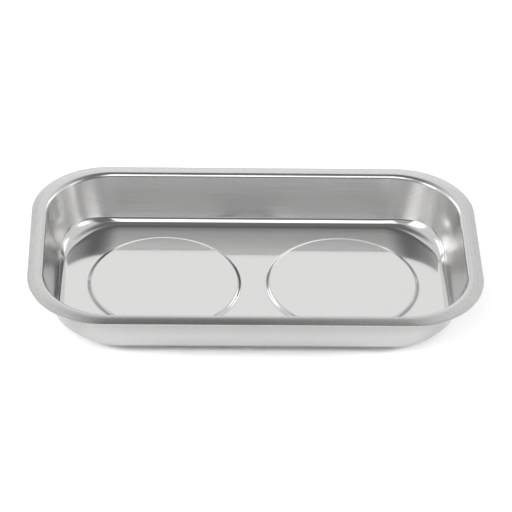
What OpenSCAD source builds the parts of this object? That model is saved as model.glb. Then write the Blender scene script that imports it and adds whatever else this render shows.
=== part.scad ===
// Magnetic parts tray: a pressed sheet-steel pan that stands on two rubber-covered magnet bases.
// Sizes are in millimetres. The origin is on the surface that the tray stands on, under its middle.
// X runs along the tray, Y across it and Z up.

/* [Rim] */
// Length of the rim over its outer edges
rim_length = 240; // [220:1:300]
// Width of the rim over its outer edges
rim_width = 140; // [128:1:180]
// Corner radius of the rim's outer edge, in plan
rim_corner_r = 41; // [34:0.5:60]
// Width of the flange, from its outer edge to the start of the bend
flange_width = 5.8; // [3:0.1:8]
// Slope of the flange down towards its outer edge, in degrees
flange_slope = 7; // [0:0.5:15]
// Radius of the bend from flange to wall, on the sheet's upper face
bend_r = 2.4; // [1.5:0.1:4]

/* [Pan] */
// Thickness of the sheet
sheet = 0.6; // [0.4:0.05:1]
// Depth from the top of the rim to the floor
pan_depth = 28; // [20:0.5:40]
// Draft of the walls, in degrees from upright
wall_draft = 14.5; // [5:0.5:20]
// Radius from wall to floor, on the sheet's upper face
floor_fillet_r = 5.5; // [3:0.1:8]
// Corner radius of the flat floor's outline, in plan
floor_corner_r = 30; // [22:0.5:40]

/* [Raised pads] */
// Distance of each pad's centre from the middle of the tray
pad_offset = 48; // [44:0.5:49]
// Radius at which each pad starts to rise from the floor
pad_r = 41.8; // [30:0.1:43]
// Rise of each pad over the floor
pad_rise = 1.5; // [0.5:0.1:2.5]
// Inside radius of the two bends in each pad's step
pad_bend_r = 1.4; // [1:0.1:2]

/* [Magnet bases] */
// Height of each ring magnet
magnet_height = 3.2; // [2.8:0.1:10]
// Bore of each ring magnet
magnet_bore = 28; // [26:0.5:36]
// Thickness of each backing plate
plate_thickness = 0.6; // [0.4:0.1:1]
// Gap between each rubber cover and the step of its pad
cover_gap = 0.5; // [0.2:0.1:2]
// Thickness of the rubber around each magnet
cover_wall = 3; // [1.5:0.1:5]
// Thickness of the rubber under each magnet
cover_skin = 1.2; // [0.8:0.1:2]
// Rounding of each rubber cover's lower edge
cover_edge_r = 1; // [0.4:0.1:1.4]
// Diameter of the recess for the nut in each rubber cover
recess_d = 20; // [14:0.5:24]
// Chamfer at the mouth of the recess
recess_chamfer = 0.6; // [0.2:0.1:1]

/* [Fasteners] */
// Diameter of each stud
stud_d = 4; // [3:0.5:5]
// Diameter of each stud's welded foot
stud_foot_d = 6; // [5.5:0.5:8]
// Depth of each stud's end inside the nut's lower face
stud_end_depth = 0.2; // [0:0.1:1]
// Height of each nut's lower face over the surface
nut_clearance = 0.4; // [0.2:0.1:1]
// Width of each nut across its flats
nut_flats = 7; // [6:0.5:9]
// Height of each nut
nut_height = 2.2; // [1.6:0.1:2.4]
// Chamfer on the corners of each nut
nut_chamfer = 0.3; // [0.1:0.1:0.5]
// Outside diameter of each washer
washer_d = 12; // [9:0.5:13]
// Thickness of each washer
washer_thickness = 1; // [0.6:0.1:1.2]

/* [Hidden] */
$fn = 96;

// Clearances, the overrun of every cut, and counts
magnet_fit = 0.2;
stud_fit = 0.15;
thread_fit = 0.05;
overrun = 1;
bend_steps = 7;
edge_steps = 4;
corner_steps = 14;
nut_sides = 6;

// Levels, from the surface up
plate_under = cover_skin + magnet_height;
seat = plate_under + plate_thickness;
floor_under = seat - pad_rise;
floor_top = floor_under + sheet;
rim_top = floor_top + pan_depth;

// Section of the rim, in from its outer edge: centres of the smoothed edge, the bend and the fillet
edge_r = sheet / 2;
bend_centre = [flange_width + bend_r * sin(flange_slope), rim_top - bend_r];
flange_run = bend_centre[0] - edge_r - (bend_r - edge_r) * sin(flange_slope);
edge_centre = [edge_r,
               bend_centre[1] + (bend_r - edge_r) * cos(flange_slope) - flange_run * tan(flange_slope)];
fillet_z = floor_top + floor_fillet_r;
wall_rise = bend_centre[1] - fillet_z + (bend_r + floor_fillet_r) * sin(wall_draft);
wall_run = (bend_r + floor_fillet_r) * cos(wall_draft) + wall_rise * tan(wall_draft);
fillet_centre = [bend_centre[0] + wall_run, fillet_z];

// Step of a raised pad: two bends that turn opposite ways by the same angle
step_reach = 2 * pad_bend_r + sheet;
step_turn = acos(1 - pad_rise / step_reach);
pad_flat_r = pad_r - step_reach * sin(step_turn);

// Magnet base: radii from the pad's inside inwards, and levels of the fasteners in the recess.
// The rubber web between backing plate and washer takes the height that is left.
cover_r = pad_flat_r - cover_gap;
magnet_r = cover_r - cover_wall;
hub_r = magnet_bore / 2 - magnet_fit;
recess_r = recess_d / 2;
stud_hole_r = stud_d / 2 + stud_fit;
plate_hole_r = stud_foot_d / 2 + stud_fit;
washer_under = nut_clearance + nut_height;
web_under = washer_under + washer_thickness;
stud_end = nut_clearance + stud_end_depth;

// Points along an arc, from one angle to another, or from a later step of it
function arc(centre, r, from, to, steps = bend_steps, first = 0) =
    [for (i = [first:steps]) let (a = from + (to - from) * i / steps) centre + r * [cos(a), sin(a)]];

// Section of the pan as distance in from the outer edge and height: from the flat floor up the inside,
// over the flange, round its smoothed edge and back down the outside to the floor's lower face
function rim_section() = concat(
    arc(fillet_centre, floor_fillet_r, 270, 180 + wall_draft),
    arc(bend_centre, bend_r, wall_draft, 90 + flange_slope),
    arc(edge_centre, edge_r, 90 + flange_slope, 270 + flange_slope, edge_steps),
    arc(bend_centre, bend_r - sheet, 90 + flange_slope, wall_draft),
    arc(fillet_centre, floor_fillet_r + sheet, 180 + wall_draft, 270));

// Corner radius in plan at a distance in from the outer edge: it goes evenly from the rim's to the floor's
function corner_r(inset) = rim_corner_r + (floor_corner_r - rim_corner_r) * inset / fillet_centre[0];

// Round-cornered outline of the pan through one point of the section
function outline(p) =
    let (r = corner_r(p[0]), x = rim_length / 2 - p[0] - r, y = rim_width / 2 - p[0] - r)
    [for (corner = [[1, 1], [-1, 1], [-1, -1], [1, -1]], i = [0:corner_steps])
        let (a = atan2(corner[1], corner[0]) - 45 + 90 * i / corner_steps)
        [corner[0] * x + r * cos(a), corner[1] * y + r * sin(a), p[1]]];

// The pan with a plain floor: the section's outlines lofted into one skin, closed by the floor's two faces
module pan_shell() {
    section = rim_section();
    around = 4 * (corner_steps + 1);
    last = (len(section) - 1) * around;
    polyhedron(
        [for (p = section) each outline(p)],
        concat(
            [[for (j = [around - 1:-1:0]) j]],
            [for (i = [0:len(section) - 2], j = [0:around - 1])
                let (a = i * around + j, b = i * around + (j + 1) % around)
                each [[a, b, b + around], [a, b + around, a + around]]],
            [[for (j = [0:around - 1]) last + j]]));
}

// Section of a raised pad from its axis out to the plain floor, and back along the lower face
module pad_section()
    polygon(concat(
        [[0, seat + sheet]],
        arc([pad_flat_r, seat - pad_bend_r], pad_bend_r + sheet, 90, 90 - step_turn),
        arc([pad_r, floor_top + pad_bend_r], pad_bend_r, 270 - step_turn, 270, first = 1),
        arc([pad_r, floor_top + pad_bend_r], pad_bend_r + sheet, 270, 270 - step_turn),
        arc([pad_flat_r, seat - pad_bend_r], pad_bend_r, 90 - step_turn, 90, first = 1),
        [[0, seat]]));

// Puts a piece of a magnet base under the pad on one side: -1 left, 1 right
module at_pad(side) translate([side * pad_offset, 0, 0]) children();

// A flat ring between two levels
module ring(outer_r, inner_r, bottom, height)
    translate([0, 0, bottom]) difference() {
        cylinder(r = outer_r, h = height);
        translate([0, 0, -overrun]) cylinder(r = inner_r, h = height + 2 * overrun);
    }

// The pressed pan, in one piece with its raised pads
module tray_pan() color("silver") {
    difference() {
        pan_shell();
        for (side = [-1, 1]) at_pad(side)
            translate([0, 0, floor_under - overrun]) cylinder(r = pad_r, h = sheet + 2 * overrun);
    }
    for (side = [-1, 1]) at_pad(side) rotate_extrude() pad_section();
}

// A threaded stud with a wider foot, welded under the pad
module weld_stud() color("lightgray") {
    translate([0, 0, plate_under]) cylinder(d = stud_foot_d, h = plate_thickness);
    translate([0, 0, stud_end]) cylinder(d = stud_d, h = seat - stud_end);
}

// A steel disc between pad and magnet, with a hole for the stud's foot
module backing_plate() color("darkgray") ring(magnet_r, plate_hole_r, plate_under, plate_thickness);

// The ferrite ring
module ring_magnet() color("dimgray") ring(magnet_r, magnet_bore / 2, cover_skin, magnet_height);

// Section of the rubber cover: skin, outer wall with a round lower edge, hub and clamped web
module cover_section() difference() {
    union() {
        translate([recess_r, 0]) square([cover_r - recess_r, cover_skin]);
        translate([magnet_r + magnet_fit, 0]) square([cover_wall - magnet_fit, seat]);
        translate([recess_r, 0]) square([hub_r - recess_r, plate_under]);
        translate([stud_hole_r, web_under]) square([hub_r - stud_hole_r, plate_under - web_under]);
    }
    translate([cover_r - cover_edge_r, 0]) difference() {
        translate([0, -overrun]) square([cover_edge_r + overrun, cover_edge_r + overrun]);
        translate([0, cover_edge_r]) circle(cover_edge_r);
    }
    polygon([[recess_r - overrun, -overrun], [recess_r + recess_chamfer + overrun, -overrun],
             [recess_r - overrun, recess_chamfer + overrun]]);
}

// The moulded rubber cover round the magnet, which the tray stands on
module rubber_cover() color("#26262a") rotate_extrude() cover_section();

// The washer between web and nut
module washer() color("gainsboro") ring(washer_d / 2, stud_hole_r, washer_under, washer_thickness);

// The thin hexagon nut, with its corners chamfered on both faces
module nut() color("gainsboro") difference() {
    intersection() {
        translate([0, 0, nut_clearance])
            cylinder(d = nut_flats / cos(180 / nut_sides), h = nut_height, $fn = nut_sides);
        rotate_extrude() nut_turning();
    }
    translate([0, 0, nut_clearance - overrun])
        cylinder(r = stud_d / 2 + thread_fit, h = nut_height + 2 * overrun);
}

// Half section of the round blank that chamfers the nut's corners
module nut_turning() {
    corner_r = nut_flats / 2 / cos(180 / nut_sides);
    shoulder_r = corner_r - nut_chamfer;
    polygon([[0, nut_clearance], [shoulder_r, nut_clearance], [corner_r, nut_clearance + nut_chamfer / 2],
             [corner_r, washer_under - nut_chamfer / 2], [shoulder_r, washer_under], [0, washer_under]]);
}

module left_weld_stud() at_pad(-1) weld_stud();
module right_weld_stud() at_pad(1) weld_stud();
module left_backing_plate() at_pad(-1) backing_plate();
module right_backing_plate() at_pad(1) backing_plate();
module left_ring_magnet() at_pad(-1) ring_magnet();
module right_ring_magnet() at_pad(1) ring_magnet();
module left_rubber_cover() at_pad(-1) rubber_cover();
module right_rubber_cover() at_pad(1) rubber_cover();
module left_washer() at_pad(-1) washer();
module right_washer() at_pad(1) washer();
module left_nut() at_pad(-1) nut();
module right_nut() at_pad(1) nut();

tray_pan();
left_weld_stud();
right_weld_stud();
left_backing_plate();
right_backing_plate();
left_ring_magnet();
right_ring_magnet();
left_rubber_cover();
right_rubber_cover();
left_washer();
right_washer();
left_nut();
right_nut();
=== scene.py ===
"""Looks of a magnetic parts tray: a pressed steel pan that stands on two rubber-covered magnet bases.

Everything is in metres and in the frame's own axes: X runs along the tray, Y across it and Z up from
the surface it stands on. Each new piece is a surface worked out on a grid of two parameters; the magnets
and their backing plates stay as the CAD model has them, with better finishes.
"""

from __future__ import annotations

import logging
import math
from collections.abc import Mapping, Sequence
from dataclasses import dataclass, field
from enum import Enum

import bpy
import numpy as np
from mathutils import Matrix, Vector

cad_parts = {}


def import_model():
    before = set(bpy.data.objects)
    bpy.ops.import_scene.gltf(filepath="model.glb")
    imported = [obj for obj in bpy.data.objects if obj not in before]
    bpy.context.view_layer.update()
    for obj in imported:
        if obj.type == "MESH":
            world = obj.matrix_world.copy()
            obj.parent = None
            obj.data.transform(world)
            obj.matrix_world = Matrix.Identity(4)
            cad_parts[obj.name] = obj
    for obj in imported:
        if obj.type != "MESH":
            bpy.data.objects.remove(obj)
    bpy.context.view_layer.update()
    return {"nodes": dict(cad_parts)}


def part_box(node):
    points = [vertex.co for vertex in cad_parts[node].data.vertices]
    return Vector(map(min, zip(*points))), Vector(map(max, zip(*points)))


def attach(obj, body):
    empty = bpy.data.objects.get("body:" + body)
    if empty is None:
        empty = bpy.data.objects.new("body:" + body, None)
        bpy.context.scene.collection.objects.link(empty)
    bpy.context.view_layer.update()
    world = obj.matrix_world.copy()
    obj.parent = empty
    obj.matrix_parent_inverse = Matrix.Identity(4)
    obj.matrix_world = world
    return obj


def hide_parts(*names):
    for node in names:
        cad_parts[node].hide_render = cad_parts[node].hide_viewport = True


LOG = logging.getLogger("parts_tray")
MM = 0.001
TURN = 2.0 * math.pi
QUARTER = TURN / 4.0
UP = (0.0, 0.0, 1.0)
TINY = 1e-12
NOISE_MIDDLE = 0.5

Array = np.ndarray
Colour = tuple[float, float, float, float]
Span = tuple[float, float]


class Slot(Enum):
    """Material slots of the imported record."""

    PAN_STEEL = "pan_steel"
    ZINC_STEEL = "zinc_steel"
    RUBBER = "rubber"


class Side(Enum):
    """The two ends of the tray, with the sign of X at each."""

    LEFT = -1
    RIGHT = 1

    def node(self, piece: str) -> str:
        """Name of this side's node for a piece."""
        return f"{self.name.lower()}_{piece}"


class Layer(Enum):
    """Names of the values that a mesh carries for its finish."""

    BLANK = "blank"
    RUN = "section_run"
    FLANGE = "flange"
    WALL = "wall"
    OUTSIDE = "outside"
    EDGE = "raw_edge"


# Shader maths


@dataclass(frozen=True)
class Value:
    """A number, colour or vector in a node tree, on which Python's operators add Math nodes."""

    nodes: Nodes
    socket: bpy.types.NodeSocket

    def _math(self, operation: str, first: Value | float, second: Value | float = 0.0) -> Value:
        """One Math node."""
        return self.nodes.add("ShaderNodeMath", {"operation": operation}, {0: first, 1: second})

    def __add__(self, other: Value | float) -> Value:
        """Sum."""
        return self._math("ADD", self, other)

    def __sub__(self, other: Value | float) -> Value:
        """Difference."""
        return self._math("SUBTRACT", self, other)

    def __rsub__(self, other: Value | float) -> Value:
        """Difference from a number."""
        return self._math("SUBTRACT", other, self)

    def __mul__(self, other: Value | float) -> Value:
        """Product."""
        return self._math("MULTIPLY", self, other)

    def __truediv__(self, other: Value | float) -> Value:
        """Quotient."""
        return self._math("DIVIDE", self, other)

    __radd__ = __add__
    __rmul__ = __mul__

    def __abs__(self) -> Value:
        """This number without its sign."""
        return self._math("ABSOLUTE", self)

    def maximum(self, other: Value | float) -> Value:
        """The larger of two numbers."""
        return self._math("MAXIMUM", self, other)

    def _vector(self, operation: str, other: Value | tuple[float, ...], output: str | int = 0) -> Value:
        """One Vector Math node."""
        settings = {"operation": operation}
        return self.nodes.add("ShaderNodeVectorMath", settings, {0: self, 1: other}, output)

    def shifted(self, other: Value) -> Value:
        """This vector plus another."""
        return self._vector("ADD", other)

    def scaled(self, x: float, y: float, z: float) -> Value:
        """This vector with each part multiplied by a number."""
        return self._vector("MULTIPLY", (x, y, z))

    def dot(self, direction: Sequence[float]) -> Value:
        """Dot product of this vector with a fixed one."""
        return self._vector("DOT_PRODUCT", tuple(direction), "Value")

    def smooth(self, low: float, high: float) -> Value:
        """This number taken smoothly from 0 at low to 1 at high."""
        inputs = {"Value": self, "From Min": low, "From Max": high}
        return self.nodes.add("ShaderNodeMapRange", {"interpolation_type": "SMOOTHSTEP"}, inputs)


@dataclass(frozen=True)
class Noise:
    """A smooth noise: waves to a metre, finer octaves on top, and how strong each is beside the last."""

    scale: float
    detail: float = 2.0
    roughness: float = 0.5


class Nodes:
    """The node tree of one material, or of the world."""

    def __init__(self, owner: bpy.types.Material | bpy.types.World) -> None:
        """Empties the owner's tree.

        Args:
            owner: the material or world whose nodes are made.
        """
        owner.use_nodes = True
        self.owner = owner
        self.tree = owner.node_tree
        self.tree.nodes.clear()

    def add(
        self,
        kind: str,
        settings: Mapping[str, object] | None = None,
        inputs: Mapping[str | int, object] | None = None,
        output: str | int = 0,
    ) -> Value:
        """Makes one node.

        Args:
            kind: the node's type.
            settings: its own settings, set first.
            inputs: a number, tuple or Value for each socket, by name, identifier or place.
            output: the socket that is returned, by name, identifier or place.

        Returns:
            The chosen output.
        """
        node = self.tree.nodes.new(kind)
        for name, setting in (settings or {}).items():
            setattr(node, name, setting)
        for key, given in (inputs or {}).items():
            socket = self._socket(node.inputs, key)
            if isinstance(given, Value):
                self.tree.links.new(given.socket, socket)
            else:
                socket.default_value = given
        found = self._socket(node.outputs, output) if node.outputs else None
        return Value(self, found)

    @staticmethod
    def _socket(sockets: bpy.types.bpy_prop_collection, key: str | int) -> bpy.types.NodeSocket:
        """Finds a socket.

        Args:
            sockets: a node's inputs or outputs.
            key: the socket's place, identifier or name.

        Returns:
            The socket.
        """
        if isinstance(key, int):
            return sockets[key]
        by_identifier = [s for s in sockets if s.identifier == key]
        return by_identifier[0] if by_identifier else sockets[key]

    def place(self) -> Value:
        """Place on the piece, in metres."""
        return self.add("ShaderNodeTexCoord", output="Object")

    def layer(self, layer: Layer) -> Value:
        """A value that the mesh carries."""
        return self.add("ShaderNodeAttribute", {"attribute_name": layer.value}, output="Fac")

    def noise(self, where: Value, noise: Noise) -> Value:
        """Smooth noise from 0 to 1.

        Args:
            where: the place that it varies with.
            noise: its scale and octaves.

        Returns:
            The noise at that place.
        """
        return self.add(
            "ShaderNodeTexNoise",
            {"normalize": True},
            {"Vector": where, "Scale": noise.scale, "Detail": noise.detail, "Roughness": noise.roughness},
        )

    def blend(self, factor: Value | float, first: Value | Colour, second: Value | Colour) -> Value:
        """A colour between two others.

        Args:
            factor: 0 for the first, 1 for the second.
            first: a colour.
            second: another colour.

        Returns:
            The mixed colour.
        """
        return self.add(
            "ShaderNodeMix",
            {"data_type": "RGBA"},
            {"Factor_Float": factor, "A_Color": first, "B_Color": second},
            "Result_Color",
        )

    def bump(self, height: Value) -> Value:
        """The normal of a surface that stands out by a height in metres."""
        return self.add("ShaderNodeBump", {}, {"Strength": 1.0, "Distance": 1.0, "Height": height})

    def close(self, shader: Value, kind: str = "ShaderNodeOutputMaterial") -> None:
        """Makes a shader the tree's result."""
        self.add(kind, {}, {"Surface": shader})

    def principled(self, sockets: Mapping[str, object]) -> bpy.types.Material:
        """Ends a material with a Principled shader, with a number, colour or Value on each socket named."""
        self.close(self.add("ShaderNodeBsdfPrincipled", {}, sockets))
        return self.owner


# Finishes


def grey(level: float, warmth: float = 0.0) -> Colour:
    """A grey of that level, a little warmer than neutral, or cooler where warmth is below 0."""
    return (level * (1.0 + warmth), level, level * (1.0 - warmth), 1.0)


@dataclass(frozen=True)
class PressedSteel:
    """Bright stainless sheet after pressing: polished floor, drawn walls, satin flange and outside.

    A tint and a shade are the light and the dark of a grain, and a span is the part of a noise that leads
    from one to the other. A sheen is what a pattern adds to the roughness, and a height to the surface.
    """

    name: str = "pressed_stainless"
    tint: Colour = grey(0.72, 0.004)
    shade: Colour = grey(0.635, 0.006)
    satin_tint: Colour = grey(0.67, 0.004)
    satin_shade: Colour = grey(0.58, 0.006)
    outside_tint: Colour = grey(0.63, 0.006)
    outside_shade: Colour = grey(0.57, 0.006)
    # painted shade: a darker grey painted on the outside wall towards the flange, and the heights where it
    # comes in
    painted_shade_tint: Colour = grey(0.47, 0.006)
    painted_shade_rise: Span = (13.0 * MM, 25.0 * MM)
    edge_tint: Colour = grey(0.64, 0.01)
    polished: float = 0.09
    satin: float = 0.20
    drawn: float = 0.22
    reverse: float = 0.22
    sheared: float = 0.28
    grain: Noise = Noise(2200.0, 3.0, 0.6)
    grain_stretch: float = 0.012
    grain_span: Span = (0.25, 0.75)
    floor_grain: float = 0.25
    streaks: Noise = Noise(1.0, 3.0, 0.6)
    streaks_along: float = 16.0
    streaks_across: float = 2600.0
    mottle: Noise = Noise(900.0, 2.0, 0.7)
    brush_span: Span = (0.35, 0.65)
    smudge: Noise = Noise(38.0, 4.0, 0.55)
    wave: Noise = Noise(24.0, 1.0, 0.4)
    marks: Noise = Noise(420.0, 1.0)
    marks_stretch: float = 0.06
    marks_span: Span = (0.66, 0.76)
    line_sheen: float = 0.02
    smudge_sheen: float = 0.03
    mark_sheen: float = 0.03
    wave_height: float = 0.03 * MM
    line_height: float = 0.0001 * MM
    smudge_height: float = 0.003 * MM

    def material(self) -> bpy.types.Material:
        """Builds the material.

        The grain is noise on the flat blank, long in the rolling direction, and fainter on the floor than
        on the walls. The flange and the outside are mottled, with streaks that run along the rim. Outside,
        the wall is painted darker towards the flange, a painted shade for the shade under it. The whole
        sheet waves very slightly, as a pressed sheet does.

        Returns:
            The new material.
        """
        nodes = Nodes(bpy.data.materials.new(self.name))
        place = nodes.place()
        blank = nodes.add("ShaderNodeUVMap", {"uv_map": Layer.BLANK.value})
        flange = nodes.layer(Layer.FLANGE)
        wall = nodes.layer(Layer.WALL)
        outside = nodes.layer(Layer.OUTSIDE)
        edge = nodes.layer(Layer.EDGE)

        grain = nodes.noise(blank.scaled(self.grain_stretch, 1.0, 1.0), self.grain)
        streaks = nodes.noise(self._along_rim(nodes, place), self.streaks)
        smudge = nodes.noise(place, self.smudge)
        wave = nodes.noise(place, self.wave)
        scuffs = nodes.noise(blank.scaled(1.0, self.marks_stretch, 1.0), self.marks)
        marks = scuffs.smooth(*self.marks_span)
        brushed = (streaks + nodes.noise(place, self.mottle)) / 2.0
        lines = grain + (brushed - grain) * flange

        strength = self.floor_grain + (1.0 - self.floor_grain) * wall
        rolled = NOISE_MIDDLE + (grain.smooth(*self.grain_span) - NOISE_MIDDLE) * strength
        dull = brushed.smooth(*self.brush_span)
        bright_face = nodes.blend(rolled, self.shade, self.tint)
        satin_face = nodes.blend(dull, self.satin_shade, self.satin_tint)
        outer_face = nodes.blend(dull, self.outside_shade, self.outside_tint)
        # painted shade: the outside wall is painted darker towards the flange, standing in for the shade
        # under it
        painted_shade = place.dot(UP).smooth(*self.painted_shade_rise)
        inner = nodes.blend(flange, bright_face, satin_face)
        outer = nodes.blend(painted_shade, outer_face, self.painted_shade_tint)
        colour = nodes.blend(edge, nodes.blend(outside, inner, outer), self.edge_tint)

        rough = self.polished + (self.satin - self.polished) * flange + (self.drawn - self.polished) * wall
        rough = rough + (self.reverse - self.polished) * outside + (self.sheared - self.satin) * edge
        rough = rough + (lines - NOISE_MIDDLE) * self.line_sheen
        rough = rough + (smudge - NOISE_MIDDLE) * self.smudge_sheen + marks * self.mark_sheen * flange
        height = wave * self.wave_height + lines * self.line_height + smudge * self.smudge_height
        return nodes.principled(
            {"Base Color": colour, "Metallic": 1.0, "Roughness": rough, "Normal": nodes.bump(height)}
        )

    def _along_rim(self, nodes: Nodes, place: Value) -> Value:
        """A place whose waves are long along the rim and fine across the flange.

        Args:
            nodes: the material's nodes.
            place: the place on the piece.

        Returns:
            The stretched place.
        """
        flat = place.scaled(self.streaks_along, self.streaks_along, 0.0)
        across = nodes.layer(Layer.RUN) * self.streaks_across
        return flat.shifted(nodes.add("ShaderNodeCombineXYZ", {}, {"Z": across}))


@dataclass(frozen=True)
class PlatedSteel:
    """Steel with a thin plating: fine spangle, faint colour drift and a slightly uneven sheen."""

    name: str
    light: Colour
    dark: Colour
    roughness: float
    spangle: float = 900.0
    fleck_mix: tuple[float, float, float] = (0.5, 0.3, 0.2)
    drift: Noise = Noise(160.0, 3.0)
    fleck_share: float = 0.6
    drift_share: float = 0.4
    fleck_sheen: float = 0.12
    drift_sheen: float = 0.1
    drift_height: float = 0.02 * MM

    def material(self) -> bpy.types.Material:
        """Builds the material.

        Returns:
            The new material.
        """
        nodes = Nodes(bpy.data.materials.new(self.name))
        place = nodes.place()
        cells = nodes.add("ShaderNodeTexVoronoi", {}, {"Vector": place, "Scale": self.spangle}, "Color")
        fleck = cells.dot(self.fleck_mix)
        drift = nodes.noise(place, self.drift)
        tone = fleck * self.fleck_share + drift * self.drift_share
        rough = self.roughness + (fleck - NOISE_MIDDLE) * self.fleck_sheen
        rough = rough + (drift - NOISE_MIDDLE) * self.drift_sheen
        return nodes.principled(
            {
                "Base Color": nodes.blend(tone, self.dark, self.light),
                "Metallic": 1.0,
                "Roughness": rough,
                "Normal": nodes.bump(drift * self.drift_height),
            }
        )


ZINC_PLATE = PlatedSteel("zinc_plate", grey(0.74, -0.01), grey(0.60, 0.03), 0.30)
PLAIN_PLATE = PlatedSteel("plain_plate", grey(0.58), grey(0.44, 0.01), 0.38)


@dataclass(frozen=True)
class MouldedRubber:
    """Moulded black rubber: fine pebble grain, pale dust in patches, and dust where it rests."""

    name: str = "moulded_rubber"
    black: Colour = grey(0.022, 0.01)
    dusty: Colour = grey(0.060, 0.03)
    roughness: float = 0.62
    specular: float = 0.4
    pebbles: Noise = Noise(2600.0, 2.0, 0.6)
    pebble_sheen: float = 0.16
    pebble_height: float = 0.05 * MM
    patches: Noise = Noise(90.0, 4.0, 0.6)
    patch_span: Span = (0.45, 0.8)
    patch_dust: float = 0.6
    rest_height: float = 0.25 * MM
    rest_dust: float = 0.25
    dust_sheen: float = 0.2

    def material(self) -> bpy.types.Material:
        """Builds the material.

        Returns:
            The new material.
        """
        nodes = Nodes(bpy.data.materials.new(self.name))
        place = nodes.place()
        pebbles = nodes.noise(place, self.pebbles)
        patches = nodes.noise(place, self.patches).smooth(*self.patch_span)
        worn = 1.0 - place.dot(UP).smooth(0.0, self.rest_height)
        dust = patches * self.patch_dust + worn * self.rest_dust
        rough = self.roughness + dust * self.dust_sheen + (pebbles - NOISE_MIDDLE) * self.pebble_sheen
        return nodes.principled(
            {
                "Base Color": nodes.blend(dust, self.black, self.dusty),
                "Roughness": rough,
                "Specular IOR Level": self.specular,
                "Normal": nodes.bump(pebbles * self.pebble_height),
            }
        )


@dataclass(frozen=True)
class SinteredFerrite:
    """Sintered ferrite: a dark grey ceramic with fine grains and small pale chips."""

    name: str = "sintered_ferrite"
    dark: Colour = grey(0.035)
    pale: Colour = grey(0.10, 0.01)
    roughness: float = 0.55
    grains: Noise = Noise(1800.0, 3.0, 0.7)
    grain_tone: float = 0.5
    grain_sheen: float = 0.2
    grain_height: float = 0.03 * MM
    chips: Noise = Noise(320.0, 2.0)
    chip_span: Span = (0.62, 0.70)
    chip_tone: float = 0.4

    def material(self) -> bpy.types.Material:
        """Builds the material.

        Returns:
            The new material.
        """
        nodes = Nodes(bpy.data.materials.new(self.name))
        place = nodes.place()
        grains = nodes.noise(place, self.grains)
        chips = nodes.noise(place, self.chips).smooth(*self.chip_span)
        tone = grains * self.grain_tone + chips * self.chip_tone
        return nodes.principled(
            {
                "Base Color": nodes.blend(tone, self.dark, self.pale),
                "Roughness": self.roughness + grains * self.grain_sheen,
                "Normal": nodes.bump(grains * self.grain_height),
            }
        )


# Surfaces


def unit(vectors: Array) -> Array:
    """Vectors of length 1 along others."""
    return vectors / np.maximum(np.linalg.norm(vectors, axis=-1, keepdims=True), TINY)


def directions(angle: Array) -> Array:
    """The flat unit vectors at some angles."""
    return np.stack([np.cos(angle), np.sin(angle)], axis=1)


def spatial(plan: Array, height: Array) -> Array:
    """Vectors in space from their parts in plan and their heights, of which one can serve a whole row."""
    upright = np.broadcast_to(height[..., None], (*plan.shape[:-1], 1))
    return np.concatenate([plan, upright], axis=-1)


@dataclass(frozen=True)
class Section:
    """A run of points on a flat section, with the unit normals of the surface there."""

    points: Array
    normals: Array

    @staticmethod
    def arc(centre: Array, r: float, start: float, end: float, steps: int, outward: bool) -> Section:
        """An arc: centre plus r times the direction at angles evenly from start to end, in degrees."""
        direction = directions(np.radians(np.linspace(start, end, steps + 1)))
        return Section(centre + r * direction, direction if outward else -direction)

    def line_to(self, other: Section, steps: int) -> Section:
        """The straight run between this section's end and another's start, without either end.

        Args:
            other: the section that follows.
            steps: how many steps the run has.

        Returns:
            The points between, with this section's last normal.
        """
        share = np.linspace(0.0, 1.0, steps + 1)[1:-1, None]
        points = self.points[-1] + share * (other.points[0] - self.points[-1])
        return Section(points, np.repeat(self.normals[-1:], steps - 1, axis=0))

    def inner(self) -> Section:
        """This run without its two ends."""
        return Section(self.points[1:-1], self.normals[1:-1])

    @staticmethod
    def join(parts: Sequence[Section]) -> Section:
        """Several runs one after another."""
        points, normals = [p.points for p in parts], [p.normals for p in parts]
        return Section(np.concatenate(points), np.concatenate(normals))

    def run(self) -> Array:
        """Length along the section from its first point to each point."""
        return np.concatenate([[0.0], np.cumsum(np.linalg.norm(np.diff(self.points, axis=0), axis=1))])

    @staticmethod
    def rounded(corners: Array, radii: Array, steps: int) -> Section:
        """A closed outline whose corners are rounded by arcs.

        At each corner, a and b are the directions to the corners before and after it, and h is half the
        angle between them. The arc touches both sides at r / tan h from the corner, and its centre lies
        r / sin h along the line that halves the angle. Its points turn evenly from one side to the other.

        Args:
            corners: the corners, in anticlockwise order.
            radii: the rounding of each corner.
            steps: how many steps each arc has.

        Returns:
            The outline, with its first point again at its end.
        """
        a = unit(np.roll(corners, 1, axis=0) - corners)
        b = unit(np.roll(corners, -1, axis=0) - corners)
        half = np.arccos(np.clip(np.sum(a * b, axis=1), -1.0, 1.0)) / 2.0
        r = np.asarray(radii)[:, None]
        centre = corners + unit(a + b) * r / np.sin(half)[:, None]
        first = (corners + a * r / np.tan(half)[:, None] - centre) / r
        last = (corners + b * r / np.tan(half)[:, None] - centre) / r
        turn = (math.pi - 2.0 * half)[:, None, None]
        share = np.linspace(0.0, 1.0, steps + 1)[None, :, None]
        direction = np.sin((1.0 - share) * turn) * first[:, None] + np.sin(share * turn) * last[:, None]
        direction = direction / np.sin(turn)
        hollow = np.where(a[:, 0] * b[:, 1] - a[:, 1] * b[:, 0] > 0.0, -1.0, 1.0)[:, None, None]
        points = (centre[:, None] + r[:, None] * direction).reshape(-1, 2)
        normals = (hollow * direction).reshape(-1, 2)
        return Section(np.concatenate([points, points[:1]]), np.concatenate([normals, normals[:1]]))


@dataclass
class Patch:
    """A grid of points over two parameters, with the outward normal and the finish's values at each."""

    points: Array
    normals: Array
    blank: Array | None = None
    layers: dict[Layer, Array] = field(default_factory=dict)

    def mirrored(self) -> Patch:
        """The same patch at the other end of the tray.

        Returns:
            The patch with X turned round.
        """
        flip = np.array([-1.0, 1.0, 1.0])
        blank = None if self.blank is None else self.blank * flip[:2]
        return Patch(self.points * flip, self.normals * flip, blank, dict(self.layers))


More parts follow.
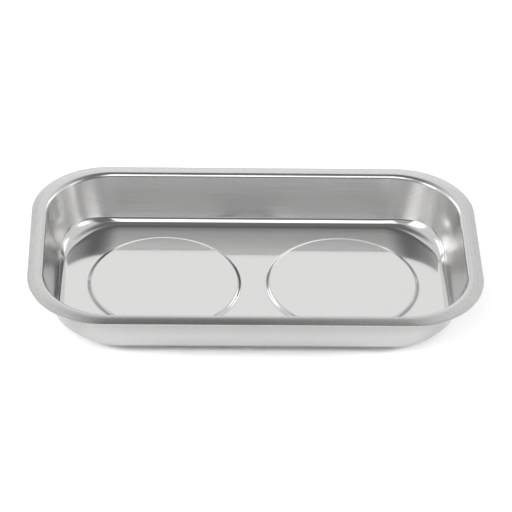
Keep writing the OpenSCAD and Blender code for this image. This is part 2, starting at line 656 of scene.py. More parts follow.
def lathe(section: Section, columns: int, centre: tuple[float, float]) -> Patch:
    """A section turned about an upright axis: radius and height from the section, angle from the column.

    Args:
        section: points as radius and height, with their normals.
        columns: how many columns go round.
        centre: where the axis stands in plan.

    Returns:
        The turned surface, closed on itself.
    """
    around = directions(np.linspace(0.0, TURN, columns + 1))
    points = spatial(section.points[:, None, :1] * around + centre, section.points[:, None, 1])
    points[:, -1] = points[:, 0]
    return Patch(points, spatial(section.normals[:, None, :1] * around, section.normals[:, None, 1]))


def turned(radius: Array, height: Array, centre: tuple[float, float]) -> Patch:
    """A surface whose radius and height vary with both parameters: rows along it, columns round its axis.

    Args:
        radius: radius for each row and column, where the last column repeats the first.
        height: height for each row and column.
        centre: where the axis stands in plan.

    Returns:
        The surface, with normals from the slopes of the grid.
    """
    around = directions(np.linspace(0.0, TURN, radius.shape[1]))
    points = spatial(radius[..., None] * around + centre, height)
    points[:, -1] = points[:, 0]
    return Patch(points, unit(np.cross(np.gradient(points, axis=1), np.gradient(points, axis=0))))


def add_object(name: str, data: bpy.types.Mesh | bpy.types.Light | bpy.types.Camera) -> bpy.types.Object:
    """Makes an object at the origin.

    Args:
        name: its name.
        data: its mesh, lamp or lens.

    Returns:
        The new object, linked to the scene.
    """
    made = bpy.data.objects.new(name, data)
    bpy.context.scene.collection.objects.link(made)
    return made


class Shading(Enum):
    """How a piece's faces are shaded: by the exact normals of its surface, or with sharp edges."""

    EXACT = "exact"
    SHARP_EDGES = "sharp edges"


@dataclass(frozen=True)
class Weld:
    """Patches joined into one mesh: points that coincide become one, and faces turn to face outwards."""

    patches: Sequence[Patch]
    shading: Shading
    grid: float = 1e-7
    sharp_angle: float = math.radians(32.0)

    def build(self, name: str) -> bpy.types.Object:
        """Builds the mesh and its object at the origin.

        Args:
            name: the piece's name.

        Returns:
            The new object, linked to the scene.
        """
        points = np.concatenate([p.points.reshape(-1, 3) for p in self.patches])
        normals = np.concatenate([p.normals.reshape(-1, 3) for p in self.patches])
        keys = np.round(points / self.grid).astype(np.int64)
        _, first, same = np.unique(keys, axis=0, return_index=True, return_inverse=True)
        same = same.reshape(-1)
        corners = self._corners(points, normals)
        faces = same[corners]
        ends_meet = (faces[:, 0] == faces[:, 3]) | (faces[:, 2] == faces[:, 3])
        starts_meet = (faces[:, 0] == faces[:, 1]) | (faces[:, 1] == faces[:, 2])
        quads = corners[~(ends_meet | starts_meet)]
        triangles = np.concatenate(
            [corners[ends_meet & ~starts_meet][:, :3], corners[starts_meet & ~ends_meet][:, [0, 2, 3]]]
        )
        mesh = bpy.data.meshes.new(name)
        mesh.from_pydata(points[first].tolist(), [], same[quads].tolist() + same[triangles].tolist())
        mesh.polygons.foreach_set("use_smooth", np.ones(len(mesh.polygons), bool))
        self._store_layers(mesh, first, np.concatenate([quads.ravel(), triangles.ravel()]))
        if self.shading is Shading.EXACT:
            mesh.normals_split_custom_set_from_vertices(normals[first].tolist())
        else:
            mesh.set_sharp_from_angle(angle=self.sharp_angle)
        mesh.update()
        return add_object(name, mesh)

    def _corners(self, points: Array, normals: Array) -> Array:
        """The four points of each face of every patch, in the order that faces along the normals.

        Args:
            points: all patches' points, one after another.
            normals: the outward normal at each.

        Returns:
            Four indices for each face.
        """
        faces = []
        start = 0
        for patch in self.patches:
            rows, columns = patch.points.shape[:2]
            index = start + np.arange(rows * columns).reshape(rows, columns)
            ring = [index[:-1, :-1], index[1:, :-1], index[1:, 1:], index[:-1, 1:]]
            faces.append(np.stack(ring, axis=-1).reshape(-1, 4))
            start += rows * columns
        corners = np.concatenate(faces)
        across = np.cross(
            points[corners[:, 2]] - points[corners[:, 0]], points[corners[:, 3]] - points[corners[:, 1]]
        )
        inward = np.sum(across * normals[corners].sum(axis=1), axis=1) < 0.0
        return np.where(inward[:, None], corners[:, ::-1], corners)

    def _store_layers(self, mesh: bpy.types.Mesh, first: Array, loops: Array) -> None:
        """Puts the finish's values on the mesh: the blank's places as a UV map, the rest as attributes.

        Args:
            mesh: the welded mesh.
            first: for each of its points, the index of a patch's point that became it.
            loops: for each corner of its faces, the index of the patch's point.
        """
        if self.patches[0].blank is not None:
            blank = np.concatenate([p.blank.reshape(-1, 2) for p in self.patches])
            chart = mesh.uv_layers.new(name=Layer.BLANK.value)
            chart.data.foreach_set("uv", blank[loops].astype(np.float32).ravel())
        for layer in self.patches[0].layers:
            values = np.concatenate([p.layers[layer].ravel() for p in self.patches])
            stored = mesh.attributes.new(layer.value, "FLOAT", "POINT")
            stored.data.foreach_set("value", values[first].astype(np.float32))


def place_piece(
    piece: bpy.types.Object, finish: bpy.types.Material, nodes: Sequence[str]
) -> None:
    """Dresses a new piece, puts it in the place of its nodes and lets it ride on the part's one body.

    Args:
        piece: the new piece.
        finish: its material.
        nodes: the CAD nodes that it stands for.
    """
    piece.data.materials.append(finish)
    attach(piece, "root")
    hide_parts(*nodes)
    LOG.info("%s: %d faces for %s", piece.name, len(piece.data.polygons), ", ".join(nodes))


# The pan


@dataclass
class Pan:
    """The pressed pan: flange, bend, drafted walls, filleted floor and two raised round pads.

    It lies evenly about the frame's axes, so the highest corner of its box gives its size in plan and top.
    """

    high: Vector
    finish: PressedSteel = PressedSteel()
    sheet: float = 0.6 * MM
    depth: float = 28.0 * MM
    corner_r: float = 41.0 * MM
    floor_corner_r: float = 30.0 * MM
    flange_width: float = 5.8 * MM
    flange_slope: float = 7.0
    flange_crown: float = 5.5
    bend_r: float = 2.4 * MM
    wall_draft: float = 14.5
    wall_bow: float = 1.2
    fillet_r: float = 5.5 * MM
    corner_fillet_r: float = 9.0 * MM
    pad_offset: float = 48.0 * MM
    pad_r: float = 41.8 * MM
    pad_rise: float = 1.5 * MM
    pad_bend_r: float = 1.4 * MM
    corner_columns: int = 36
    side_columns: int = 32
    end_columns: int = 24
    middle_columns: int = 32
    fillet_rows: int = 16
    wall_rows: int = 10
    bend_rows: int = 14
    flange_rows: int = 8
    edge_rows: int = 8
    under_bend_rows: int = 12
    under_fillet_rows: int = 14
    pad_rows: int = 7
    pad_bend_rows: int = 8
    floor_rings: int = 5

    @property
    def rim_top(self) -> float:
        """Height of the rim's crest."""
        return self.high.z

    @property
    def floor_top(self) -> float:
        """Height of the floor's upper face."""
        return self.rim_top - self.depth

    @property
    def corner_centre(self) -> Array:
        """Centre of the rim's right back corner, in plan."""
        return np.array([self.high.x - self.corner_r, self.high.y - self.corner_r])

    @property
    def tightening(self) -> float:
        """How much a corner's radius loses for each metre that its outline lies inside the rim's."""
        floor_inset = self._section(self.fillet_r)[0].points[0, 0]
        return (self.corner_r - self.floor_corner_r) / floor_inset

    def build(self) -> bpy.types.Object:
        """Builds the pan as one welded sheet.

        Returns:
            The finished piece.
        """
        rim = self._rim()
        faces = ((rim.points[0], True), (rim.points[-1], False))
        halves = [self._floor_half(edge[:, :2], upper) for edge, upper in faces]
        patches = [rim, *halves, *[half.mirrored() for half in halves]]
        piece = Weld(patches, Shading.EXACT).build("pressed_pan")
        place_piece(piece, self.finish.material(), ["tray_pan"])
        return piece

    def _path(self) -> tuple[Array, Array]:
        """The rim's path, from the middle of the front round the right end and back round the left one.

        The rim's edge lies at anchor + corner radius * out. Along a side or an end the anchor moves from
        one corner's centre to the next; round a corner it stays and the direction turns.

        Returns:
            The anchors and the outward directions, where the last repeats the first.
        """
        x, y = self.corner_centre
        side = np.linspace(0.0, x, self.side_columns + 1)
        end = np.linspace(-y, y, self.end_columns + 1)
        bend = np.linspace(0.0, QUARTER, self.corner_columns + 1)
        turn = np.concatenate(
            [
                np.full(self.side_columns, -QUARTER),
                bend[:-1] - QUARTER,
                np.zeros(self.end_columns),
                bend,
                np.full(self.side_columns, QUARTER),
            ]
        )
        anchor_x = np.concatenate([side[:-1], np.full(len(turn) - 2 * self.side_columns, x), side[-2::-1]])
        anchor_y = np.concatenate(
            [
                np.full(self.side_columns + self.corner_columns, -y),
                end[:-1],
                np.full(self.corner_columns + 1 + self.side_columns, y),
            ]
        )
        anchor = np.stack([anchor_x, anchor_y], axis=1)
        out = directions(turn)
        flip = np.array([-1.0, 1.0])
        return (
            np.concatenate([anchor, anchor[-2::-1] * flip]),
            np.concatenate([out, out[-2::-1] * flip]),
        )

    def _section(self, fillet_r: float) -> tuple[Section, Array, int]:
        """Section of the sheet beyond the flat floor, as distance inside the rim's edge and height.

        It goes up the fillet, wall and bend, out along the flange, round its smoothed edge, and back along
        the lower face. The wall is a very flat arc that meets the fillet at the draft plus the bow and the
        bend at the draft less the bow; its radius is its rise over the difference of the sines of the two.
        The flange is another, whose slope grows by twice the crown from the bend to the edge; its radius
        is its run over the difference of the sines. All is laid out with distances outwards from the edge
        and turned to insets at the end.

        Args:
            fillet_r: radius of the fillet's upper face.

        Returns:
            The section, the length along the sheet at each point, and the index of the edge's middle.
        """
        near_slope = self.flange_slope - self.flange_crown
        far_slope = self.flange_slope + self.flange_crown
        near, far = math.radians(near_slope), math.radians(far_slope)
        low_draft, high_draft = self.wall_draft + self.wall_bow, self.wall_draft - self.wall_bow
        edge_r = self.sheet / 2.0
        bend_x = -self.flange_width - self.bend_r * math.sin(math.radians(self.flange_slope))
        bend_c = np.array([bend_x, self.rim_top - self.bend_r])
        flange_run = -edge_r * (1.0 - math.sin(far)) - bend_x - self.bend_r * math.sin(near)
        flange_r = flange_run / (math.sin(far) - math.sin(near))
        flange_c = bend_c + (self.bend_r - flange_r) * np.array([math.sin(near), math.cos(near)])
        edge_c = flange_c + (flange_r - edge_r) * np.array([math.sin(far), math.cos(far)])
        low_out = np.array([math.cos(math.radians(low_draft)), -math.sin(math.radians(low_draft))])
        high_out = np.array([math.cos(math.radians(high_draft)), -math.sin(math.radians(high_draft))])
        fillet_z = self.floor_top + fillet_r
        rise = bend_c[1] - fillet_z - fillet_r * low_out[1] - self.bend_r * high_out[1]
        wall_r = rise / (high_out[1] - low_out[1])
        wall_c = bend_c - (wall_r + self.bend_r) * high_out
        fillet_c = wall_c + (wall_r - fillet_r) * low_out

        up, over, down = 180.0 - high_draft, 90.0 - near_slope, 90.0 - far_slope
        arcs = (
            (fillet_c, fillet_r, -90.0, -low_draft, self.fillet_rows, self.under_fillet_rows, False),
            (wall_c, wall_r, -low_draft, -high_draft, self.wall_rows, self.wall_rows, False),
            (bend_c, self.bend_r, up, over, self.bend_rows, self.under_bend_rows, True),
            (flange_c, flange_r, over, down, self.flange_rows, self.flange_rows, True),
        )
        upper, lower = [], []
        for centre, r, start, end, rows, under_rows, outward in arcs:
            upper.append(Section.arc(centre, r, start, end, rows, outward))
            under_r = r - self.sheet if outward else r + self.sheet
            lower.append(Section.arc(centre, under_r, end, start, under_rows, not outward))
        # The wall and the flange leave their ends to the arcs beside them.
        for face in (upper, lower):
            face[1::2] = [flat.inner() for flat in face[1::2]]
        edge = Section.arc(edge_c, edge_r, down, down - 180.0, self.edge_rows, True)
        whole = Section.join([*upper, edge, *reversed(lower)])
        middle = sum(len(part.points) for part in upper) + len(edge.points) // 2
        along = whole.run()
        inward = np.array([-1.0, 1.0])
        turned_in = Section(whole.points * inward, whole.normals * inward)
        return turned_in, along[middle] - np.abs(along - along[middle]), middle

    @staticmethod
    def _swell(out: Array) -> tuple[Array, Array]:
        """The corner fillet's share at a path direction a, (sin 2a) squared, and its change with a."""
        double = 2.0 * out[:, 0] * out[:, 1]
        return double**2, 4.0 * double * (out[:, 0] ** 2 - out[:, 1] ** 2)

    def _rim(self) -> Patch:
        """The sheet beyond the flat floor: the section carried round the path.

        A point at an inset s lies at edge + s * inward in plan. At s a corner's radius is the rim's less
        t times s, where t is the tightening, and its centre moves in by the rest of s, so the straight
        parts lie s inside the rim's. The section itself changes from the sides' to the corners' by the
        share of the swelling. The normal is the cross product of the two tangents: one along the section,
        and one round the path, which is the radius across the direction plus what the swelling adds.

        Returns:
            The closed strip from the floor's upper edge round the rim to its lower edge.
        """
        section, run, middle = self._section(self.fillet_r)
        corner, _, _ = self._section(self.corner_fillet_r)
        anchor, out = self._path()
        share, change = self._swell(out)
        growth = (corner.points - section.points)[:, None]
        tilt = section.normals[:, None] + share[:, None] * (corner.normals - section.normals)[:, None]
        place = section.points[:, None] + share[:, None] * growth
        inset, height = place[..., 0], place[..., 1]
        tight = self.tightening
        inward = -(1.0 - tight) * anchor / self.corner_centre - tight * out
        points = spatial(anchor + self.corner_r * out + inset[..., None] * inward, height)

        along = spatial(tilt[..., 1:] * inward, -tilt[..., 0])
        across = np.stack([-out[:, 1], out[:, 0]], axis=1)
        swept = (self.corner_r - tight * inset)[..., None] * across
        swelling = change[:, None] * growth[..., :1] * inward
        normals = unit(np.cross(along, spatial(swept + swelling, change * growth[..., 1])))
        outward = spatial(-tilt[..., :1] * out, tilt[..., 1])
        normals *= np.sign(np.sum(normals * outward, axis=-1, keepdims=True))

        inside = (np.arange(len(inset)) <= middle)[:, None]
        on_flange = np.clip((self.flange_width + self.bend_r - inset) / self.bend_r, 0.0, 1.0)
        above_fillet = np.clip((height - self.floor_top - self.fillet_r / 2.0) / self.fillet_r, 0.0, 1.0)
        layers = {
            Layer.RUN: run[:, None] * np.ones_like(inset),
            Layer.FLANGE: on_flange * inside,
            Layer.WALL: above_fillet * (1.0 - on_flange) * inside,
            Layer.OUTSIDE: 1.0 - inside * np.ones_like(inset),
            Layer.EDGE: (inset < self.sheet / 2.0).astype(float),
        }
        blank = points[:1, :, :2] + run[:, None, None] * out
        return Patch(points, normals, blank, layers)

    def _pad_section(self, upper: bool) -> Section:
        """Section of a pad's face from its axis to the floor: flat, over one bend and into the other.

        Both bends turn by the same angle, whose cosine is 1 less the rise over the sum of their radii.

        Args:
            upper: whether it is the upper face or the lower one.

        Returns:
            Points as radius and height, with their normals.
        """
        seat = self.floor_top - self.sheet + self.pad_rise
        reach = 2.0 * self.pad_bend_r + self.sheet
        turn = math.degrees(math.acos(1.0 - self.pad_rise / reach))
        flat_r = self.pad_r - reach * math.sin(math.radians(turn))
        extra = self.sheet if upper else 0.0
        crest_c = np.array([flat_r, seat - self.pad_bend_r])
        foot_c = np.array([self.pad_r, self.floor_top + self.pad_bend_r])
        crest_r, foot_r = self.pad_bend_r + extra, self.pad_bend_r + self.sheet - extra
        crest = Section.arc(crest_c, crest_r, 90.0, 90.0 - turn, self.pad_bend_rows, upper)
        foot = Section.arc(foot_c, foot_r, 270.0 - turn, 270.0, self.pad_bend_rows, not upper)
        middle = Section(np.array([[0.0, seat + extra]]), crest.normals[:1])
        beyond = Section(foot.points[1:], foot.normals[1:])
        return Section.join([middle, middle.line_to(crest, self.pad_rows), crest, beyond])

    def _floor_half(self, floor_edge: Array, upper: bool) -> Patch:
        """Half of the floor with its pad, as rings about the pad's centre.

        A column runs from the centre towards one point of the half's outline, which is the inner end of
        the rim's section and then the line across the tray's middle. Rings up to the pad's step are
        circles; beyond it they change evenly into the outline.

        Args:
            floor_edge: the flat floor's outline, from the rim's strip.
            upper: whether it is the upper face or the lower one.

        Returns:
            The half at the right end.
        """
        rim = floor_edge[: len(floor_edge) // 2 + 1]
        across = np.linspace(rim[-1], rim[0], self.middle_columns + 1)[1:]
        outline = np.concatenate([rim, across])
        centre = np.array([self.pad_offset, 0.0])
        away = outline - centre
        far = np.linalg.norm(away, axis=1)
        direction = away / far[:, None]
        pad = self._pad_section(upper)
        share = np.linspace(0.0, 1.0, self.floor_rings + 1)[1:, None]
        beyond = self.pad_r + share * (far - self.pad_r)[None]
        radius = np.concatenate([np.repeat(pad.points[:, :1], len(far), axis=1), beyond])
        level = np.concatenate([pad.points[:, 1], np.full(len(share), pad.points[-1, 1])])
        tilt = np.concatenate([pad.normals, np.repeat(pad.normals[-1:], len(share), axis=0)])
        points = spatial(centre + radius[..., None] * direction, level[:, None])
        points[-1, :, :2] = outline
        normals = spatial(tilt[:, None, :1] * direction, tilt[:, None, 1])
        none = np.zeros(radius.shape)
        layers = {
            Layer.RUN: none,
            Layer.FLANGE: none,
            Layer.WALL: none,
            Layer.OUTSIDE: none + (0.0 if upper else 1.0),
            Layer.EDGE: none,
        }
        return Patch(points, normals, points[..., :2].copy(), layers)


# The magnet bases


@dataclass(frozen=True)
class Thread:
    """A screw thread: radius = outer radius - depth * (0 on the crest to 1 in the root, along a helix)."""

    pitch: float = 0.7 * MM
    depth: float = 0.36 * MM

    def cut(self, angle: Array, height: Array) -> Array:
        """Depth below the crest: a triangle wave of height/pitch - angle/turn. Each height has a row."""
        phase = height[:, None] / self.pitch - angle[None] / TURN
        return self.depth * np.abs(2.0 * (phase - np.floor(phase + 0.5)))


@dataclass
class MagnetBase:
    """One magnet base: rubber cover, stud, washer and nut, round the magnet and backing plate."""

    side: Side
    rubber: bpy.types.Material
    zinc: bpy.types.Material
    cover_r: float
    magnet_r: float
    seat: float
    plate_under: float
    pad_offset: float = 48.0 * MM
    hub_r: float = 13.8 * MM
    magnet_fit: float = 0.2 * MM
    skin: float = 1.2 * MM
    edge_r: float = 1.0 * MM
    recess_r: float = 10.0 * MM
    recess_chamfer: float = 0.6 * MM
    web_under: float = 3.6 * MM
    stud_r: float = 2.0 * MM
    stud_foot_r: float = 3.0 * MM
    stud_fit: float = 0.15 * MM
    thread_fit: float = 0.05 * MM
    stud_end: float = 0.6 * MM
    nut_under: float = 0.4 * MM
    nut_height: float = 2.2 * MM
    nut_flats: float = 7.0 * MM
    nut_sides: int = 6
    nut_chamfer: float = 0.3 * MM
    washer_r: float = 6.0 * MM
    washer_thickness: float = 1.0 * MM
    small_r: float = 0.12 * MM
    thread: Thread = Thread()
    cover_columns: int = 144
    cover_arc_rows: int = 6
    washer_columns: int = 72
    washer_arc_rows: int = 5
    nut_columns: int = 96
    nut_rows: int = 44
    nut_face_rings: int = 4
    stud_columns: int = 72
    stud_rows: int = 64

    @classmethod
    def from_frame(cls, side: Side, rubber: bpy.types.Material, zinc: bpy.types.Material) -> MagnetBase:
        """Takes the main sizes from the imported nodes.

        Args:
            side: which end of the tray.
            rubber: finish of the cover.
            zinc: finish of the fasteners.

        Returns:
            The base at that end.
        """
        cover_low, cover_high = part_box(side.node("rubber_cover"))
        magnet_low, magnet_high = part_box(side.node("ring_magnet"))
        return cls(
            side,
            rubber,
            zinc,
            cover_r=(cover_high.y - cover_low.y) / 2.0,
            magnet_r=(magnet_high.y - magnet_low.y) / 2.0,
            seat=cover_high.z,
            plate_under=magnet_high.z,
        )

    @property
    def centre(self) -> tuple[float, float]:
        """Where the base's axis stands in plan."""
        return (self.side.value * self.pad_offset, 0.0)

    def build(self) -> None:
        """Builds the four pieces that show from below."""
        self._cover()
        self._washer()
        self._nut()
        self._stud()

    def _finish(
        self, patch: Patch, name: str, shading: Shading, finish: bpy.types.Material
    ) -> None:
        """Makes one piece of the base from its surface, under its node's name.

        Args:
            patch: the piece's surface.
            name: the piece's name within the base.
            shading: how it is shaded.
            finish: its material.
        """
        node = self.side.node(name)
        piece = Weld([patch], shading).build(f"{node}_piece")
        place_piece(piece, finish, [node])

    def _cover(self) -> None:
        """The moulded cover: its section, with every corner rounded, turned about the axis.

        The section goes anticlockwise from the recess's mouth; its second corner is the foot's outer edge.
        """
        channel_r = self.magnet_r + self.magnet_fit
        bore_r = self.stud_r + self.stud_fit
        mouth_r = self.recess_r + self.recess_chamfer
        corners = np.array(
            [
                [mouth_r, 0.0],
                [self.cover_r, 0.0],
                [self.cover_r, self.seat],
                [channel_r, self.seat],
                [channel_r, self.skin],
                [self.hub_r, self.skin],
                [self.hub_r, self.plate_under],
                [bore_r, self.plate_under],
                [bore_r, self.web_under],
                [self.recess_r, self.web_under],
                [self.recess_r, self.recess_chamfer],
            ]
        )
        radii = np.full(len(corners), 2.0 * self.small_r)
        radii[1] = self.edge_r
        section = Section.rounded(corners, radii, self.cover_arc_rows)
        patch = lathe(section, self.cover_columns, self.centre)
        self._finish(patch, "rubber_cover", Shading.EXACT, self.rubber)

    def _washer(self) -> None:
        """The flat washer: a rounded rectangle turned about the axis."""
        inner, outer = self.stud_r + self.stud_fit, self.washer_r
        low, high = self.web_under - self.washer_thickness, self.web_under
        corners = np.array([[inner, low], [outer, low], [outer, high], [inner, high]])
        section = Section.rounded(corners, np.full(len(corners), self.small_r), self.washer_arc_rows)
        patch = lathe(section, self.washer_columns, self.centre)
        self._finish(patch, "washer", Shading.EXACT, self.zinc)

    def _nut(self) -> None:
        """The thin nut: a hexagon with turned chamfers and a threaded bore.

        At an angle t the hexagon's radius is half the width over flats, divided by the cosine of the angle
        from the middle of the nearest flat. The faces rise by half of what lies beyond the shoulder.
        """
        angle = np.linspace(0.0, TURN, self.nut_columns + 1)
        sector = TURN / self.nut_sides
        from_flat = np.mod(angle, sector) - sector / 2.0
        hexagon = self.nut_flats / 2.0 / np.cos(from_flat)
        shoulder = self.nut_flats / 2.0 / math.cos(sector / 2.0) - self.nut_chamfer
        low, high = self.nut_under, self.nut_under + self.nut_height
        heights = np.linspace(high, low, self.nut_rows + 1)
        bore = self.stud_r + self.thread_fit - self.thread.cut(angle, heights)
        step = np.minimum(hexagon, shoulder)
        outward = np.linspace(0.0, 1.0, self.nut_face_rings + 1)[1:, None]
        face = bore[-1] + outward * (step - bore[-1])
        slant = step + outward[1::2] * (hexagon - step)
        drop = np.maximum(slant - shoulder, 0.0) / 2.0
        top = bore[0] + outward * (step - bore[0])
        radius = np.concatenate([bore, face, slant, slant[::-1], top[::-1], bore[:1]])
        flat = np.ones((1, len(angle)))
        height = np.concatenate(
            [
                heights[:, None] * flat,
                np.full_like(face, low),
                low + drop,
                high - drop[::-1],
                np.full_like(top, high),
                high * flat,
            ]
        )
        patch = turned(radius, height, self.centre)
        self._finish(patch, "nut", Shading.SHARP_EDGES, self.zinc)

    def _stud(self) -> None:
        """The stud: a chamfered, threaded end, and a plain foot against the pad."""
        angle = np.linspace(0.0, TURN, self.stud_columns + 1)
        chamfer = self.thread.depth
        heights = np.linspace(self.stud_end, self.plate_under, self.stud_rows + 1)
        fade = np.clip((heights - self.stud_end) / chamfer, 0.0, 1.0)[:, None]
        cut = np.maximum(self.thread.cut(angle, heights), chamfer * (1.0 - fade))
        run_out = np.clip((self.plate_under - heights) / self.thread.pitch, 0.0, 1.0)[:, None]
        thread = self.stud_r - cut * run_out
        flat = np.ones((1, len(angle)))
        centre_r, rim_r = 0.0 * flat, thread[:1]
        foot_r, end, seat = self.stud_foot_r * flat, self.stud_end * flat, self.seat * flat
        radius = np.concatenate([centre_r, rim_r / 2.0, thread, foot_r, foot_r, centre_r])
        height = np.concatenate([end, end, heights[:, None] * flat, self.plate_under * flat, seat, seat])
        patch = turned(radius, height, self.centre)
        self._finish(patch, "weld_stud", Shading.SHARP_EDGES, self.zinc)


# The studio


def heading(azimuth: float, elevation: float) -> Vector:
    """The unit vector at an azimuth from the back towards the right and an elevation, both in degrees."""
    az, el = math.radians(azimuth), math.radians(elevation)
    return Vector((math.sin(az) * math.cos(el), math.cos(az) * math.cos(el), math.sin(el)))


@dataclass(frozen=True)
class Panel:
    """A soft-edged rectangular panel of the tent, brighter or darker than the rest; all angles in degrees.

    The azimuth goes from the back towards the right, and the elevation up from the floor. Where the cosine
    of the angle from the middle falls below grazing, the panel fades out.
    """

    azimuth: float
    elevation: float
    half_width: float
    half_height: float
    soft: float
    level: float
    grazing: float = 0.05

    def mask(self, direction: Value) -> Value:
        """How far a direction lies within the panel, from 0 to 1.

        The direction is cut with the panel's plane, so that its distances from the middle, across and
        along, are compared with the tangents of the panel's half angles.

        Args:
            direction: the direction that is looked in.

        Returns:
            1 inside, 0 outside and a smooth change over the soft edge.
        """
        front = heading(self.azimuth, self.elevation)
        right = heading(self.azimuth + 90.0, 0.0)
        ahead = direction.dot(front)
        across = abs(direction.dot(right) / ahead)
        along = abs(direction.dot(right.cross(front)) / ahead)
        facing = ahead.smooth(0.0, self.grazing)
        return facing * self._within(across, self.half_width) * self._within(along, self.half_height)

    def _within(self, distance: Value, half: float) -> Value:
        """1 where a distance from the middle is below the tangent of a half angle, 0 beyond it."""
        low, high = (math.tan(math.radians(half + side * self.soft)) for side in (-1.0, 1.0))
        return 1.0 - distance.smooth(low, high)


@dataclass(frozen=True)
class Softbox:
    """A square lamp at either side, which lights what is matt and isn't mirrored; angles in degrees."""

    azimuth: float
    elevation: float
    distance: float
    size: float
    power: float

    def hang(self, side: Side) -> None:
        """Makes the lamp at one side, facing the middle of the floor.

        Args:
            side: the side that it hangs at.
        """
        name = side.node("softbox")
        towards = heading(side.value * self.azimuth, self.elevation)
        lamp = bpy.data.lights.new(name, "AREA")
        lamp.size = self.size
        lamp.energy = self.power
        hung = add_object(name, lamp)
        facing = towards.to_track_quat("Z", "Y").to_matrix().to_4x4()
        hung.matrix_world = Matrix.Translation(towards * self.distance) @ facing
        hung.visible_glossy = False


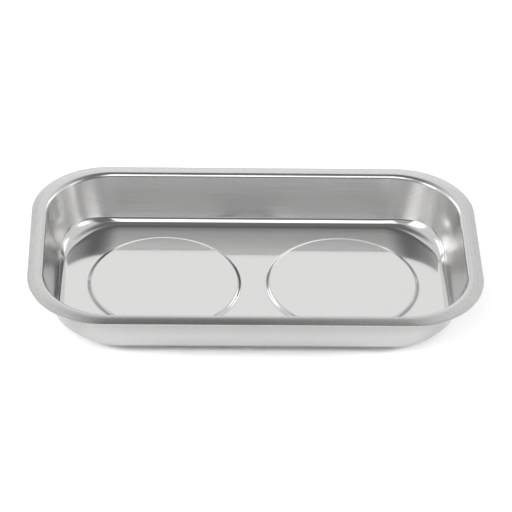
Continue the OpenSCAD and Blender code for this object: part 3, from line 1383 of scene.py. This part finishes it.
@dataclass
class Studio:
    """Camera, light and floor: a white tent with brighter and darker panels, and a lamp at each side.

    A panel's values are its azimuth, elevation, half width, half height, soft edge and level; a lamp's
    are its azimuth, elevation, distance, size and power.
    """

    rim_top: float
    azimuth: float = -2.375
    elevation: float = 37.097
    roll: float = 1.804
    distance: float = 1.4682
    focal_px: float = 2771.4
    image_px: float = 512.0
    sensor: float = 36.0
    target_x: float = 0.332 * MM
    target_y: float = -11.975 * MM
    tent_level: float = 0.85
    panels: tuple[Panel, ...] = (
        Panel(0.0, 32.0, 10.0, 14.0, 6.0, 1.06),  # backdrop, which the floor mirrors
        Panel(0.0, 19.0, 18.0, 7.0, 5.0, 1.1),  # low strip, in the back of the flange
        Panel(182.0, 48.0, 20.0, 12.0, 4.0, 2.8),  # box above the camera, along the back fillet
        Panel(180.0, 8.0, 84.0, 21.0, 9.0, 0.12),  # dark room round the camera
        Panel(-116.0, 27.0, 9.0, 18.0, 4.0, 3.2),  # left box, in the right end and corner
        Panel(107.0, 27.0, 7.0, 11.0, 4.0, 1.9),  # right box, in the left end and corner
        Panel(-56.0, 23.0, 16.0, 12.0, 5.0, 2.1),  # left strip
        Panel(54.0, 28.0, 13.0, 8.0, 5.0, 2.1),  # right strip
        Panel(-140.0, 35.0, 14.0, 14.0, 5.0, 0.5),  # left flag
        Panel(141.0, 40.0, 16.0, 19.0, 5.0, 0.2),  # right flag
        Panel(0.0, 90.0, 31.0, 24.0, 8.0, 0.2),  # opening overhead, in the floor's back corners
        Panel(1.0, 58.0, 5.0, 14.0, 5.0, 0.06),  # gap below the opening, in the front of the flange
    )
    softbox: Softbox = Softbox(108.0, 31.0, 3.0, 0.8, 46.0)
    floor_size: float = 40.0
    floor_colour: Colour = grey(0.86)
    floor_seen: Colour = grey(1.15)
    floor_mirrored: Colour = grey(0.98)

    def build(self) -> None:
        """Makes the camera, the light and the floor."""
        bpy.context.scene.view_settings.view_transform = "Standard"
        self._camera()
        self._world()
        for side in Side:
            self.softbox.hang(side)
        self._floor()

    def _camera(self) -> None:
        """Stands the camera at its distance behind the target, turned about its own axis by the roll."""
        roll = math.radians(self.roll)
        back = heading(180.0 - self.azimuth, self.elevation)
        right = (-back).cross(Vector(UP)).normalized()
        up = right.cross(-back)
        across = math.cos(roll) * right + math.sin(roll) * up
        upward = math.cos(roll) * up - math.sin(roll) * right
        place = Vector((self.target_x, self.target_y, self.rim_top)) + back * self.distance
        lens = bpy.data.cameras.new("camera")
        lens.sensor_width = self.sensor
        lens.lens = self.focal_px * self.sensor / self.image_px
        lens.clip_end = self.floor_size
        camera = add_object("camera", lens)
        facing = Matrix((across, upward, back)).transposed().to_4x4()
        camera.matrix_world = Matrix.Translation(place) @ facing
        bpy.context.scene.camera = camera

    def _world(self) -> None:
        """Hangs the tent: each panel covers what was hung before it; the camera itself sees plain white."""
        world = bpy.data.worlds.new("tent")
        bpy.context.scene.world = world
        nodes = Nodes(world)
        direction = nodes.add("ShaderNodeTexCoord", output="Generated")
        level = self.tent_level
        for panel in self.panels:
            level = level + (panel.level - level) * panel.mask(direction)
        tent = nodes.add("ShaderNodeBackground", {}, {"Color": grey(1.0), "Strength": level})
        plain = nodes.add("ShaderNodeBackground", {}, {"Color": grey(1.0), "Strength": 1.0})
        seen = nodes.add("ShaderNodeLightPath", output="Is Camera Ray")
        mixed = nodes.add("ShaderNodeMixShader", {}, {0: seen, 1: tent, 2: plain})
        nodes.close(mixed, "ShaderNodeOutputWorld")

    def _floor(self) -> None:
        """A wide plain floor, lifted to white where it is looked at or mirrored."""
        square = np.array([[-1.0, -1.0, 0.0], [1.0, -1.0, 0.0], [1.0, 1.0, 0.0], [-1.0, 1.0, 0.0]])
        corners = square * (self.floor_size / 2.0)
        mesh = bpy.data.meshes.new("floor")
        mesh.from_pydata(corners.tolist(), [], [(0, 1, 2, 3)])
        floor = add_object("floor", mesh)
        made = bpy.data.materials.new("floor_paper")
        nodes = Nodes(made)
        seen, glossy, through = (
            nodes.add("ShaderNodeLightPath", output=f"Is {ray} Ray")
            for ray in ("Camera", "Glossy", "Transmission")
        )
        mirrored = nodes.blend(glossy.maximum(through), self.floor_colour, self.floor_mirrored)
        colour = nodes.blend(seen, mirrored, self.floor_seen)
        nodes.close(nodes.add("ShaderNodeBsdfDiffuse", {}, {"Color": colour}))
        mesh.materials.append(made)


def dress_nodes(nodes: Mapping[str, bpy.types.Object]) -> None:
    """Gives the CAD nodes that stay, the magnets and backing plates, their finishes.

    Args:
        nodes: the frame's objects by node name.
    """
    ferrite = SinteredFerrite().material()
    plate = PLAIN_PLATE.material()
    for side in Side:
        for piece, finish in (("ring_magnet", ferrite), ("backing_plate", plate)):
            kept = nodes[side.node(piece)]
            kept.data.materials.clear()
            kept.data.materials.append(finish)
            LOG.info("%s: CAD node dressed as %s", kept.name, finish.name)


def main() -> None:
    """Loads the frame, builds the pieces in order and sets the studio up."""
    logging.basicConfig(level=logging.INFO, format="%(name)s: %(message)s")
    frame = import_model()
    _, pan_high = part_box("tray_pan")
    pan = Pan(pan_high)
    pan.build()
    rubber = MouldedRubber().material()
    zinc = ZINC_PLATE.material()
    for side in Side:
        MagnetBase.from_frame(side, rubber, zinc).build()
    dress_nodes(frame["nodes"])
    Studio(pan.rim_top).build()


if __name__ == "__main__":
    main()
